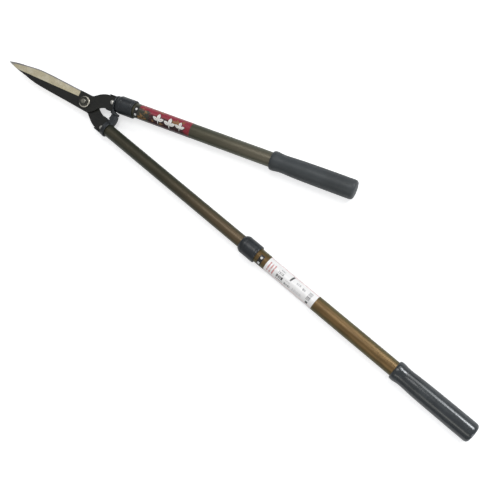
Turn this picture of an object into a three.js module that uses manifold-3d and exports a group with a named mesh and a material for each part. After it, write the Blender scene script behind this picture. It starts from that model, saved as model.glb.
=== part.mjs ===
// Telescopic hedge shears, closed, lying flat.
// Millimetres. +X runs from the pivot towards the handles, the blades point to -X,
// +Z is the side the pivot nut is on. The origin is the centre of the pivot bolt's
// head face, so the plane where the two blades meet is Z = HEAD_FACE_TO_MEETING_PLANE.
// The parts are laid out on the closed blades' middle line, with the pivot at PIVOT_AT
// and Z = 0 where the blades meet; add() moves them to the origin above.
import * as THREE from 'three';
import { mergeVertices } from 'three/addons/utils/BufferGeometryUtils.js';
import Module from 'manifold-3d';

// ---- driving dimensions (mm, degrees) ----
const HEAD_FACE_TO_MEETING_PLANE = 8.75;
const PIVOT_AT = [-2.0, -0.6];
const PLATE_T = 3.0;              // blade and tang plate thickness
const PLATE_GAP = 0.15;           // each plate's distance from the meeting plane
const PLATE_FAR = PLATE_GAP + PLATE_T;
const BOLT_R = 4.0;
const BOLT_HOLE_R = 4.08;         // in the plates and the nut
const HEX_AF = 13.0;              // across flats, bolt head and nut
const NUT_H = 4.0;
const WASHER_R = 8.5;
const WASHER_H = 1.6;
const RIVET_R = 2.4;
const RIVET_HOLE_R = 2.5;
const RIVET_HEAD_R = 3.7;

const INNER_R = 9.5;              // inner tube
const INNER_BORE = 8.3;
const OUTER_R = 11.0;             // outer tube
const OUTER_BORE = 9.8;
const TUBE_FIT = 0.08;            // radial clearance round a tube held in another part
const PLUG_R = 8.1;               // socket's plug inside the inner tube
const COLLAR_R = 13.5;
const COLLAR_LEN = 29.5;
const TUBE_MOUTH = 12.0;          // outer tube's mouth, from the collar's start
const GRIP_LEN = 127.5;
const LABEL_LEN = 86.0;
const DECAL_LEN = 6.6;

const SEG = 40;                   // segments round turned parts
const RIVET_SEG = 32;
const PLUG_SEG = 36;

// The two sides, each a blade plate with its tang, socket and handle.
// Stations run along the handle's axis, from the foot of the perpendicular dropped
// from the layout origin; "across" is measured square to the axis, in the XY plane.
const SHORT = {
  name: 'short',
  frame: frameOf(7.28, 14.8),
  facing: 1,                      // plate on the +Z side
  plate: [PLATE_GAP, PLATE_FAR],  // Z range
  rivet: [39.1, 18.8],
  // tang outline [x, y]: out along one side, round the end, back along the other
  tangOut: [
    [4.6, 13.0], [7.0, 14.0], [10.2, 16.6], [14.9, 20.5], [20.9, 24.0], [27.0, 26.1],
    [33.5, 27.1],
  ],
  tangEnd: 45.8,
  // [distance back from the tang's end, across]
  tangCorners: [[1.4, 8.0], [0.4, 7.6], [0, 6.6], [0, -11.6], [0.5, -12.7], [1.6, -13.2]],
  tangBack: [
    [37.4, 7.0], [32.4, 6.0], [27.9, 4.3], [23.5, 1.2], [20.0, -3.6], [15.5, -8.4],
    [9.8, -11.9], [3.0, -12.7],
  ],
  blockStart: 31.5,
  blockAcross: [-13.9, 9.7],
  blockBottom: -6.5,              // Z
  pocketAcross: [-16.0, 8.4],
  ring: [46.2, 48.9],
  ringR: 11.8,
  plugEnd: 74,
  innerTube: [47.0, 399.0],
  collar: 49.4,
  grip: 304.3,
  label: 89.5,
  decalGap: 3.4,                  // from the collar to the lock decal
  outerColor: 0x55523f,
  labelColor: 0xa02030,
};
const LONG = {
  name: 'long',
  frame: frameOf(-10.14, -11.2),
  facing: -1,
  plate: [-PLATE_FAR, -PLATE_GAP],
  rivet: [41.6, -22.3],
  tangOut: [
    [4.6, -12.9], [7.4, -13.0], [10.2, -13.9], [14.7, -17.4], [21.4, -22.3],
    [28.1, -25.7], [34.6, -27.3],
  ],
  tangEnd: 49.6,
  tangCorners: [[1.6, -9.2], [0.4, -8.7], [0, -7.7], [0, 10.2], [0.5, 11.3], [1.6, 11.8]],
  tangBack: [
    [39.6, -7.2], [34.3, -5.5], [28.0, -2.7], [22.9, 0.7], [18.4, 5.6], [13.4, 9.6],
    [8.6, 12.0], [3.0, 12.7],
  ],
  blockStart: 33.5,
  blockAcross: [-11.6, 12.6],
  blockBottom: -9.5,
  pocketAcross: [-10.0, 14.5],
  ring: [50.0, 56.4],
  ringR: 12.3,
  plugEnd: 80,
  innerTube: [50.8, 400.0],
  collar: 327.8,
  grip: 599.7,
  label: 376.5,
  decalGap: 6.1,
  outerColor: 0x6d5a3c,
  labelColor: 0xe8e8e4,
};
const SIDES = [SHORT, LONG];

// ---- materials ----
const STEEL = 0xb4b2a4;
const DARK_PLASTIC = 0x3a4043;
const MATERIALS = {
  blade: { color: 0x1f211e, roughness: 0.55, metalness: 0.6 },
  bolt: { color: STEEL, roughness: 0.4, metalness: 0.9 },
  washer: { color: STEEL, roughness: 0.3, metalness: 1.0 },
  nut: { color: 0x4a4c48, roughness: 0.5, metalness: 0.8 },
  rivet: { color: STEEL, roughness: 0.35, metalness: 0.95 },
  socket: { color: DARK_PLASTIC, roughness: 0.5, metalness: 0.0 },
  innerTube: { color: 0x46402f, roughness: 0.4, metalness: 0.7 },
  bush: { color: 0x25282a, roughness: 0.6, metalness: 0.0 },
  collet: { color: 0x2b2e30, roughness: 0.6, metalness: 0.0 },
  collar: { color: DARK_PLASTIC, roughness: 0.45, metalness: 0.0 },
  grip: { color: 0x3f464b, roughness: 0.35, metalness: 0.0 },
};
const outerTubeMaterial = (color) => ({ color, roughness: 0.35, metalness: 0.8 });
const filmMaterial = (color) => ({ color, roughness: 0.4, metalness: 0.0 });

const wasm = await Module();
wasm.setup();

const group = new THREE.Group();

// ---- meshes and solids ----
// positions only, welded, without collapsed triangles, and facing outwards
function clean(geo) {
  geo.deleteAttribute('normal');
  geo.deleteAttribute('uv');
  const welded = mergeVertices(geo, 1e-5);
  const corners = welded.index.array;
  const position = welded.attributes.position;
  const corner = (i) => new THREE.Vector3().fromBufferAttribute(position, i);
  const outward = [];
  const inward = [];
  let volume = 0;
  for (let i = 0; i < corners.length; i += 3) {
    const [first, second, third] = corners.slice(i, i + 3);
    if (first === second || second === third || first === third) continue;
    outward.push(first, second, third);
    inward.push(first, third, second);
    volume += corner(first).dot(corner(second).cross(corner(third))) / 6;
  }
  welded.setIndex(volume < 0 ? inward : outward);
  welded.clearGroups();
  return welded;
}

function solid(geo) {
  const cleaned = clean(geo);
  return new wasm.Manifold(new wasm.Mesh({
    numProp: 3,
    vertProperties: new Float32Array(cleaned.attributes.position.array),
    triVerts: new Uint32Array(cleaned.index.array),
  }));
}

function toGeometry(manifold) {
  const mesh = manifold.getMesh();
  const geo = new THREE.BufferGeometry();
  const positions = new Float32Array(mesh.vertProperties);
  geo.setAttribute('position', new THREE.BufferAttribute(positions, 3));
  geo.setIndex(new THREE.BufferAttribute(new Uint32Array(mesh.triVerts), 1));
  return geo;
}

function add(name, geo, material) {
  const cleaned = clean(geo);
  cleaned.translate(-PIVOT_AT[0], -PIVOT_AT[1], HEAD_FACE_TO_MEETING_PLANE);
  cleaned.computeVertexNormals();
  const mesh = new THREE.Mesh(cleaned, new THREE.MeshStandardMaterial(material));
  mesh.name = name;
  group.add(mesh);
}

// ---- handle frames ----
// axis at an angle from +X, passing the layout origin at the given offset
function frameOf(angleDeg, offset) {
  const angle = THREE.MathUtils.degToRad(angleDeg);
  const along = new THREE.Vector3(Math.cos(angle), Math.sin(angle), 0);
  const across = new THREE.Vector3(-Math.sin(angle), Math.cos(angle), 0);
  const frame = new THREE.Matrix4().makeBasis(along, across, new THREE.Vector3(0, 0, 1));
  return frame.setPosition(across.x * offset, across.y * offset, 0);
}

function pointIn(frame, station, across) {
  const point = new THREE.Vector3(station, across, 0).applyMatrix4(frame);
  return [point.x, point.y];
}

// rectangle in a handle's frame with its corners cut off by `cut`
function band(frame, [s0, s1], [t0, t1], cut) {
  return [
    [s0 + cut, t0], [s1 - cut, t0], [s1, t0 + cut], [s1, t1 - cut],
    [s1 - cut, t1], [s0 + cut, t1], [s0, t1 - cut], [s0, t0 + cut],
  ].map(([station, across]) => pointIn(frame, station, across));
}

// ---- shape helpers ----
// profile points are [distance along the axis, radius]; the last joins the first
function revolve(profile, segs) {
  const points = [...profile, profile[0]].map(([along, r]) => new THREE.Vector2(r, along));
  return new THREE.LatheGeometry(points, segs);
}
const turned = (profile, frame, segs = SEG) =>
  revolve(profile, segs).rotateZ(-Math.PI / 2).applyMatrix4(frame);
const turnedAboutZ = (profile, segs = SEG) => revolve(profile, segs).rotateX(Math.PI / 2);

// tube wall between two stations and two radii
const sleeve = (frame, from, to, bore, radius) =>
  turned([[from, bore], [from, radius], [to, radius], [to, bore]], frame);

// holes are [x, y, radius, segments]
function shapeOf(outline, holes = []) {
  const points = outline.map(([x, y]) => new THREE.Vector2(x, y));
  if (THREE.ShapeUtils.isClockWise(points)) points.reverse();
  const shape = new THREE.Shape(points);
  for (const [x, y, radius, count] of holes) {
    const rim = [];
    for (let i = 0; i < count; i++) {
      const angle = -2 * Math.PI * i / count;
      rim.push(new THREE.Vector2(x + radius * Math.cos(angle), y + radius * Math.sin(angle)));
    }
    shape.holes.push(new THREE.Path(rim));
  }
  return shape;
}

function extrude(outline, depth, holes) {
  return new THREE.ExtrudeGeometry(shapeOf(outline, holes), { depth, bevelEnabled: false });
}
const slab = (outline, z0, z1, holes) => extrude(outline, z1 - z0, holes).translate(0, 0, z0);

// slab with its rims rounded over; the outline given is the outermost one
function softSlab(outline, z0, z1, radius, steps) {
  const geo = new THREE.ExtrudeGeometry(shapeOf(outline), {
    depth: z1 - z0 - 2 * radius,
    bevelEnabled: true,
    bevelThickness: radius,
    bevelSize: radius,
    bevelOffset: -radius,
    bevelSegments: steps,
  });
  return geo.translate(0, 0, z0 + radius);
}

function smooth(points, perSpan) {
  const curve = new THREE.SplineCurve(points.map(([x, y]) => new THREE.Vector2(x, y)));
  return curve.getPoints((points.length - 1) * perSpan).map(({ x, y }) => [x, y]);
}

function rod([x, y], radius, z0, z1, segs) {
  const geo = new THREE.CylinderGeometry(radius, radius, z1 - z0, segs);
  return geo.rotateX(Math.PI / 2).translate(x, y, (z0 + z1) / 2);
}

// ---- the two blades, each one plate with its tang ----
// [x, y] from the tip to the tang, as they lie on the front (+Z) blade
const GROUND_EDGE = [
  [-153, -0.2], [-145.5, 1.4], [-131.3, 4.7], [-115.1, 8.1], [-104, 10.0], [-93, 11.2],
  [-75, 11.9], [-57.8, 12.15], [-22.9, 12.5], [3.0, 12.9],
];
const PLAIN_EDGE = [
  [-153, -0.2], [-146, -2.4], [-134.7, -4.9], [-119.7, -7.3], [-106, -9.0], [-93.5, -10.2],
  [-75, -10.95], [-57, -11.3], [-21.3, -11.9], [3.0, -12.7],
];
// each bevel starts on the line from-to and sinks by `slope` over `reach` towards +Y
const BEVELS = [
  { from: [-16.2, 2.7], to: [-68.3, -0.9], slope: 0.195, reach: 30 },
  { from: [-67.6, -0.8], to: [-165, -7.2], slope: 0.19, reach: 34 },
];
const EDGE_STEPS = 3;

// wedge taken off the front blade's +Z face
function bevelWedge({ from, to, slope, reach }) {
  const height = 4;
  const length = Math.hypot(to[0] - from[0], to[1] - from[1]);
  const wedge = extrude([[0, 0], [reach, -slope * reach], [reach, height], [0, height]], length);
  const along = new THREE.Vector3((to[0] - from[0]) / length, (to[1] - from[1]) / length, 0);
  const up = new THREE.Vector3(0, 0, 1);
  // left-handed basis: the wedge comes out mirrored, and clean() turns its faces back
  const across = new THREE.Vector3().crossVectors(along, up);
  const placing = new THREE.Matrix4().makeBasis(across, up, along);
  return wedge.applyMatrix4(placing.setPosition(from[0], from[1], PLATE_FAR));
}

// the long side's blade is the same outline turned over about X, with its own tang
function addBlade(name, { frame, facing, plate, rivet, ...tang }) {
  const edge = (points) => smooth(points.map(([x, y]) => [x, facing * y]), EDGE_STEPS);
  const outline = [
    ...edge(PLAIN_EDGE).slice(1, -1).reverse(),
    ...edge(GROUND_EDGE),
    ...smooth(tang.tangOut, EDGE_STEPS),
    ...tang.tangCorners.map(([back, across]) => pointIn(frame, tang.tangEnd - back, across)),
    ...smooth(tang.tangBack, EDGE_STEPS),
  ];
  const holes = [[...PIVOT_AT, BOLT_HOLE_R, SEG], [...rivet, RIVET_HOLE_R, RIVET_SEG]];
  let blade = solid(slab(outline, ...plate, holes));
  for (const bevel of BEVELS) {
    const wedge = bevelWedge(bevel).rotateX(facing > 0 ? 0 : Math.PI);
    blade = blade.subtract(solid(wedge));
  }
  add(name, toGeometry(blade), MATERIALS.blade);
}

// ---- pivot: hex bolt from the -Z side, washer and nut on the +Z side ----
const HEAD_TOP = -PLATE_FAR - 0.3;
const WASHER_Z0 = PLATE_FAR + 0.2;
const WASHER_Z1 = WASHER_Z0 + WASHER_H;
const NUT_Z0 = WASHER_Z1 + 0.1;
const NUT_Z1 = NUT_Z0 + NUT_H;
const BOLT_END = NUT_Z1 + 0.8;
const BOLT_END_CHAMFER = 0.8;

const addAtPivot = (name, geo, material) =>
  add(name, geo.translate(PIVOT_AT[0], PIVOT_AT[1], 0), material);

// hexagonal prism with its corners chamfered at the top or the bottom
function hexPrism(z0, z1, chamferTop) {
  const cornerR = HEX_AF / Math.sqrt(3);
  const wideR = cornerR + 0.6;
  const faceR = cornerR - 1.05;
  const drop = 1.0;
  const cone = chamferTop
    ? [[z0 - 1, 0], [z0 - 1, wideR], [z1 - drop, wideR], [z1, faceR], [z1, 0]]
    : [[z0, 0], [z0, faceR], [z0 + drop, wideR], [z1 + 1, wideR], [z1 + 1, 0]];
  return solid(rod([0, 0], cornerR, z0, z1, 6)).intersect(solid(turnedAboutZ(cone)));
}

function addBolt() {
  const shank = turnedAboutZ([
    [HEAD_TOP - 1, 0], [HEAD_TOP - 1, BOLT_R], [BOLT_END - BOLT_END_CHAMFER, BOLT_R],
    [BOLT_END, BOLT_R - BOLT_END_CHAMFER], [BOLT_END, 0],
  ]);
  const bolt = hexPrism(-HEAD_FACE_TO_MEETING_PLANE, HEAD_TOP, false).add(solid(shank));
  addAtPivot('pivot_bolt', toGeometry(bolt), MATERIALS.bolt);
}

function addWasher() {
  const boreR = BOLT_R + 0.3;
  const washer = turnedAboutZ([
    [WASHER_Z0, boreR], [WASHER_Z0, WASHER_R - 0.25], [WASHER_Z0 + 0.25, WASHER_R],
    [WASHER_Z1 - 0.4, WASHER_R], [WASHER_Z1, WASHER_R - 0.4], [WASHER_Z1, boreR],
  ]);
  addAtPivot('pivot_washer', washer, MATERIALS.washer);
}

function addNut() {
  const bore = rod([0, 0], BOLT_HOLE_R, NUT_Z0 - 1, NUT_Z1 + 1, SEG);
  const nut = hexPrism(NUT_Z0, NUT_Z1, true).subtract(solid(bore));
  addAtPivot('pivot_nut', toGeometry(nut), MATERIALS.nut);
}

// ---- sockets: moulded brackets that hold the tubes and make the closing stop ----
const RING_BORE_START = 0.5;      // from the ring's start
const SEAT_R = INNER_R + TUBE_FIT;

function socket(side, stop) {
  const { frame, ring: [s0, s1], ringR, plugEnd, plate, rivet, blockBottom } = side;
  const block = band(frame, [side.blockStart, s0 + 2.5], side.blockAcross, 1.6);
  // room for the tang plate, open towards +Z
  const pocketOutline = band(frame, [10, side.tangEnd + 0.3], side.pocketAcross, 0.8);
  const pocket = solid(slab(pocketOutline, plate[0] - 0.15, 20));
  // ring round the tube's mouth with a rolled lip
  const ring = turned([
    [s0 - 7, 0], [s0 - 7, 6], [s0 - 1.5, ringR - 1.4], [s0 + 0.2, ringR - 0.5],
    [s1 - 1.6, ringR - 0.3], [s1 - 0.9, ringR], [s1 - 0.3, ringR - 0.3], [s1, ringR - 0.9],
    [s1, 0],
  ], frame);
  const mouth = sleeve(frame, s0 + RING_BORE_START, s1 + 5, 0, SEAT_R);
  // the tube is pushed over the plug
  const plug = turned([
    [s0 + 0.2, 0], [s0 + 0.2, PLUG_R], [plugEnd - 1.5, PLUG_R], [plugEnd, 7.0], [plugEnd, 0],
  ], frame, PLUG_SEG);
  // flat seat for the rivet's -Z head
  const rivetSeat = rod(rivet, RIVET_HEAD_R + 0.5, -20, blockBottom, RIVET_SEG);
  return solid(softSlab(block, blockBottom, plate[1] + 0.9, 1.2, 2))
    .add(solid(ring))
    .subtract(pocket)
    .subtract(solid(mouth))
    .add(solid(plug))
    .subtract(solid(rod(rivet, RIVET_HOLE_R, -15, 15, RIVET_SEG)))
    .subtract(solid(rivetSeat))
    .add(stop.subtract(pocket));
}

// short side: a tongue on the -Y side of the block takes the stop
function addShortSocket() {
  const { frame, ring, collar } = SHORT;
  const tongue = [
    ...smooth([[40.5, 9.0], [41.4, 6.4], [43.2, 4.4], [47.2, 2.85]], 2),
    [52.5, 2.75], [55.6, 2.85], [56.7, 4.5], [56.0, 7.0], [51.5, 7.5], [48.6, 9.9],
    [42.0, 14.0],
  ];
  const cutEnd = 90;
  const collarRoom = sleeve(frame, collar - 0.3, cutEnd, INNER_R + 0.2, COLLAR_R + 0.35);
  const tubeRoom = turned([
    [ring[0] + RING_BORE_START, PLUG_R], [ring[0] + RING_BORE_START, SEAT_R],
    [cutEnd, INNER_R + 0.25], [cutEnd, PLUG_R],
  ], frame);
  const body = socket(SHORT, solid(softSlab(tongue, -5.0, 5.0, 1.2, 2)))
    .subtract(solid(collarRoom))
    .subtract(solid(tubeRoom));
  add('short_socket', toGeometry(body), MATERIALS.socket);
}

// long side: a finger on the +Y side of the block, cut clear of the tube
function addLongSocket() {
  const finger = [
    ...smooth([[43.6, -8.4], [46.9, -4.2], [47.9, -0.6], [47.6, 2.6]], 2),
    ...smooth([[56.7, 2.6], [57.9, -2.6], [57.7, -8.5], [56.8, -13.0], [54.6, -17.5]], 2),
    [49.0, -20.0], [44.0, -16.0],
  ];
  const tubeRoom = sleeve(LONG.frame, LONG.ring[0] + RING_BORE_START, 80, 0, SEAT_R);
  const stop = solid(softSlab(finger, -5.4, 5.4, 1.3, 3)).subtract(solid(tubeRoom));
  add('long_socket', toGeometry(socket(LONG, stop)), MATERIALS.socket);
}

// ---- rivets: through the tang and its socket, domed at both ends ----
function rivetDome(z, direction) {
  const steps = 4;
  const rim = 0.3;
  const rise = 2.1;
  const points = [];
  for (let i = 0; i <= steps; i++) {
    const angle = i / steps * Math.PI / 2;
    const radius = i === steps ? 0 : RIVET_HEAD_R * Math.cos(angle);
    points.push([z + direction * (rim + rise * Math.sin(angle)), radius]);
  }
  return points;
}

function addRivet({ name, rivet, plate, blockBottom }) {
  const top = plate[1] + 0.1;
  const bottom = blockBottom - 0.1;
  const geo = turnedAboutZ([
    ...rivetDome(bottom, -1).reverse(),
    [bottom, RIVET_HEAD_R], [bottom, RIVET_R], [top, RIVET_R], [top, RIVET_HEAD_R],
    ...rivetDome(top, 1),
  ], RIVET_SEG);
  add(name + '_rivet', geo.translate(rivet[0], rivet[1], 0), MATERIALS.rivet);
}

// ---- the telescopic handles ----
function addInnerTube({ name, frame, innerTube: [start, end] }) {
  const tube = sleeve(frame, start, end, INNER_BORE, INNER_R);
  add(name + '_inner_tube', tube, MATERIALS.innerTube);
}

// bush in the inner tube's end, running in the outer tube's bore
function addGuideBush({ name, frame, innerTube: [, end] }) {
  add(name + '_guide_bush', turned([
    [end - 14, 6.4], [end - 14, 7.9], [end - 13, 8.2], [end + 0.2, 8.2], [end + 0.2, 9.3],
    [end + 0.8, 9.73], [end + 9, 9.73], [end + 9.8, 9.2], [end + 9.8, 6.4],
  ], frame), MATERIALS.bush);
}

// its mouth is inside the collar, its far end inside the grip
function addOuterTube({ name, frame, collar, grip, outerColor }) {
  const end = grip + GRIP_LEN - 5.4;
  const tube = sleeve(frame, collar + TUBE_MOUTH, end, OUTER_BORE, OUTER_R);
  add(name + '_outer_tube', tube, outerTubeMaterial(outerColor));
}

// split collet that the collar squeezes onto the inner tube
function addLockCollet({ name, frame, collar }) {
  const bore = INNER_R + 0.1;
  const tubeSeat = OUTER_R + TUBE_FIT;
  const step = collar + TUBE_MOUTH - 0.2;
  let collet = solid(turned([
    [collar + 2.6, bore], [collar + 2.6, 10.7], [collar + 9.4, 11.9], [collar + 26, 11.9],
    [collar + 26, tubeSeat], [step, tubeSeat], [step, bore],
  ], new THREE.Matrix4()));
  for (let i = 0; i < 2; i++) {
    const slit = new THREE.BoxGeometry(8, 40, 1.2).translate(collar + 5, 0, 0);
    collet = collet.subtract(solid(slit.rotateX(i * Math.PI / 2 + Math.PI / 4)));
  }
  add(name + '_lock_collet', toGeometry(collet).applyMatrix4(frame), MATERIALS.collet);
}

// twist collar
function addLockCollar({ name, frame, collar: start }) {
  const end = start + COLLAR_LEN;
  const bore = INNER_R + 0.2;
  const endBore = OUTER_R + 0.15;
  add(name + '_lock_collar', turned([
    [start, bore], [start, 10.6], [start + 1.4, 11.7], [start + 3.4, 12.9],
    [start + 5.2, COLLAR_R], [end - 1.0, COLLAR_R], [end - 0.3, COLLAR_R - 0.35],
    [end, COLLAR_R - 1.0], [end, endBore], [end - 3.0, endBore], [end - 3.0, 12.05],
    [start + 9.8, 12.05], [start + 2.2, 10.75], [start + 2.2, bore],
  ], frame), MATERIALS.collar);
}

// bulb at the start, neck, then a long swell: [distance from the grip's start, radius]
const GRIP_SWELL = [
  [0, 12.6], [0.7, 13.45], [2.2, 13.95], [4.6, 14.15], [7.6, 14.0], [11.0, 13.45],
  [14.5, 13.1], [18.5, 13.0], [26, 13.25], [36, 13.7], [50, 14.05], [70, 14.25], [95, 14.35],
];
// rounded to a flat end: [distance back from the grip's end, radius]
const GRIP_END = [
  [5.6, 14.35], [3.4, 14.0], [1.6, 13.0], [0.5, 11.2], [0, 8.0], [0, 0],
];

function addGrip({ name, frame, grip: start }) {
  const end = start + GRIP_LEN;
  const boreR = OUTER_R + TUBE_FIT;
  const boreEnd = end - 5.0;
  add(name + '_grip', turned([
    [boreEnd, 0], [boreEnd, boreR], [start, boreR],
    ...GRIP_SWELL.map(([ahead, radius]) => [start + ahead, radius]),
    ...GRIP_END.map(([back, radius]) => [end - back, radius]),
  ], frame), MATERIALS.grip);
}

// printed film wrapped on the outer tube; angles run from the across axis towards +Z
function addFilm(name, frame, { start, length, angles: [from, to], steps, color }) {
  const arc = (radius) => Array.from({ length: steps + 1 }, (_, i) => {
    const angle = THREE.MathUtils.degToRad(from + (to - from) * i / steps);
    return [radius * Math.cos(angle), radius * Math.sin(angle)];
  });
  const section = [...arc(OUTER_R + 0.2), ...arc(OUTER_R + 0.06).reverse()];
  // section x -> across, section y -> Z, depth -> along the handle
  const placing = new THREE.Matrix4().makeBasis(
    new THREE.Vector3(0, 1, 0), new THREE.Vector3(0, 0, 1), new THREE.Vector3(1, 0, 0),
  ).setPosition(start, 0, 0);
  const film = extrude(section, length).applyMatrix4(placing).applyMatrix4(frame);
  add(name, film, filmMaterial(color));
}

function addFilms({ name, frame, label, labelColor, collar, decalGap }) {
  addFilm(name + '_label', frame, {
    start: label, length: LABEL_LEN, angles: [-52, 232], steps: 36, color: labelColor,
  });
  addFilm(name + '_lock_decal', frame, {
    start: collar + COLLAR_LEN + decalGap,
    length: DECAL_LEN,
    angles: [64, 154],
    steps: 12,
    color: 0x141414,
  });
}

// ---- assembly ----
addBlade('front_blade', SHORT);
addBlade('rear_blade', LONG);
addBolt();
addWasher();
addNut();
addShortSocket();
addLongSocket();
SIDES.forEach(addRivet);
for (const side of SIDES) {
  addInnerTube(side);
  addGuideBush(side);
  addOuterTube(side);
  addLockCollet(side);
  addLockCollar(side);
  addGrip(side);
  addFilms(side);
}

export default group;
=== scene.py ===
# Shears with two telescopic handles, lying flat. The blades point along -x and the handles
# open toward +x, the short one on the +y side and the long one on the -y side. Pieces are
# laid out in millimetres with z = 0 between the two blades, then moved so that the pivot
# axis stands on the origin and the bolt head's underside is at z = 0, in metres.
import math
from contextlib import contextmanager
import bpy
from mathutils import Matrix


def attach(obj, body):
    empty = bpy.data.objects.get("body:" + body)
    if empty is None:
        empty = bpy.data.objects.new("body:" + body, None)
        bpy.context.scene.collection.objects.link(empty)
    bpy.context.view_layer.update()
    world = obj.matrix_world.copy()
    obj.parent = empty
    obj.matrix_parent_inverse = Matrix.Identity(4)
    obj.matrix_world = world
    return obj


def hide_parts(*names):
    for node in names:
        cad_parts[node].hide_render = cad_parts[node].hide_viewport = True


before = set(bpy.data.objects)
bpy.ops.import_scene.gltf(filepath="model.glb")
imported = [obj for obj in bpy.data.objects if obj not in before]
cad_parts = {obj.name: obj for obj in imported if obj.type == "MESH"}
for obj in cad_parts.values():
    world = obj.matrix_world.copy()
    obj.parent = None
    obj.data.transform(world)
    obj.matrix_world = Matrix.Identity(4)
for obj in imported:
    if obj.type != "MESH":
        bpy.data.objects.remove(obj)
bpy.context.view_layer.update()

from types import SimpleNamespace

import bmesh
import bpy
import numpy as np
from mathutils import Matrix, Vector

# ---------------------------------------------------------------- dimensions (mm)
PIVOT = (-2.0, -0.6)
BOLT_BASE = -8.75               # underside of the bolt head
PLATE_T, GAP = 3.0, 0.15        # blade thickness, and its distance from z = 0
PLATE_OUT = GAP + PLATE_T
BOLT_R, BOLT_HOLE_R = 4.0, 4.08
HEX_R = 13.0 / math.sqrt(3)     # corner radius of a hexagon 13 across flats
NUT_H, WASHER_R, WASHER_H = 4.0, 8.5, 1.6
RIVET_R, RIVET_HOLE_R, RIVET_HEAD_R = 2.4, 2.5, 3.7
INNER_R, INNER_BORE, OUTER_R, OUTER_BORE, COLLAR_R = 9.5, 8.3, 11.0, 9.8, 13.5
COLLAR_LEN, GRIP_LEN, LABEL_LEN, DECAL_LEN = 29.5, 127.5, 86.0, 6.6
TANG_CLEARANCE = 1.2            # from the blade's tang to the inner tube

# the stack up the bolt
HEAD_TOP = -PLATE_OUT - 0.3
WASHER_LOW = PLATE_OUT + 0.2
WASHER_TOP = WASHER_LOW + WASHER_H
NUT_LOW = WASHER_TOP + 0.1
NUT_TOP = NUT_LOW + NUT_H
BOLT_END = NUT_TOP + 0.8

TO_WORLD = (Matrix.Diagonal((0.001, 0.001, 0.001, 1))
            @ Matrix.Translation((-PIVOT[0], -PIVOT[1], -BOLT_BASE)))


def axis_frame(tilt, offset):
    """frame (station, across, up) of a line tilted from +x and shifted across itself"""
    angle = math.radians(tilt)
    along = Vector((math.cos(angle), math.sin(angle), 0))
    across = Vector((-math.sin(angle), math.cos(angle), 0))
    return Matrix(((along.x, across.x, 0, across.x * offset),
                   (along.y, across.y, 0, across.y * offset), (0, 0, 1, 0), (0, 0, 0, 1)))


def handle_spec(name, tilt, offset, **sizes):
    """tube is a span of stations; collar, grip and label are stations of their near ends"""
    return SimpleNamespace(name=name, tilt=tilt, matrix=axis_frame(tilt, offset), **sizes)


SHORT = handle_spec("short", 7.28, 14.8, tube=(47.0, 399.0), collar=49.4, grip=304.3,
                    label=89.5, decal_gap=3.4,
                    rivet=(39.1, 18.8), rivet_top=PLATE_OUT, rivet_low=-6.5)
LONG = handle_spec("long", -10.14, -11.2, tube=(50.8, 400.0), collar=327.8, grip=599.7,
                   label=376.5, decal_gap=6.1,
                   rivet=(41.6, -22.3), rivet_top=-GAP, rivet_low=-9.5)
LAYOUT = SimpleNamespace(tilt=0.0, matrix=Matrix.Identity(4))


# ---------------------------------------------------------------- mesh helpers
def new_object(name, verts, faces):
    mesh = bpy.data.meshes.new(name)
    mesh.from_pydata(verts, [], faces)
    mesh.validate()
    obj = bpy.data.objects.new(name, mesh)
    bpy.context.scene.collection.objects.link(obj)
    return obj


@contextmanager
def editing(obj):
    mesh = bmesh.new()
    mesh.from_mesh(obj.data)
    yield mesh
    mesh.to_mesh(obj.data)
    mesh.free()


def outward(obj):
    """points every face normal out"""
    with editing(obj) as mesh:
        bmesh.ops.recalc_face_normals(mesh, faces=mesh.faces)
        if mesh.calc_volume(signed=True) < 0:
            bmesh.ops.reverse_faces(mesh, faces=mesh.faces)
    return obj


def lathe(name, profile, matrix, closed=False, steps=96, wobble=None):
    """turns (station, radius) points about the frame's first axis;
    open profiles start and end on the axis, wobble(station, angle) is added to the radius"""
    verts, rings, faces = [], [], []
    for station, radius in profile:
        start = len(verts)
        if radius < 1e-6:
            verts.append((station, 0, 0))
        else:
            for i in range(steps):
                angle = 2 * math.pi * i / steps
                local_r = radius + (wobble(station, angle) if wobble else 0.0)
                verts.append((station, local_r * math.cos(angle), local_r * math.sin(angle)))
        rings.append(list(range(start, len(verts))))
    for near, far in zip(rings, rings[1:] + (rings[:1] if closed else [])):
        for i in range(steps):
            j = (i + 1) % steps
            if len(near) == 1:
                faces.append((near[0], far[j], far[i]))
            elif len(far) == 1:
                faces.append((near[i], near[j], far[0]))
            else:
                faces.append((near[i], near[j], far[j], far[i]))
    obj = new_object(name, verts, faces)
    obj.data.transform(matrix)
    return outward(obj)


def upright(centre):
    """frame whose stations run up z"""
    return Matrix(((0, 1, 0, centre[0]), (0, 0, 1, centre[1]), (1, 0, 0, 0), (0, 0, 0, 1)))


def rod(centre, radius, low, high, steps):
    profile = [(low, 0), (low, radius), (high, radius), (high, 0)]
    return lathe("tool", profile, upright(centre), steps=steps)


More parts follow.
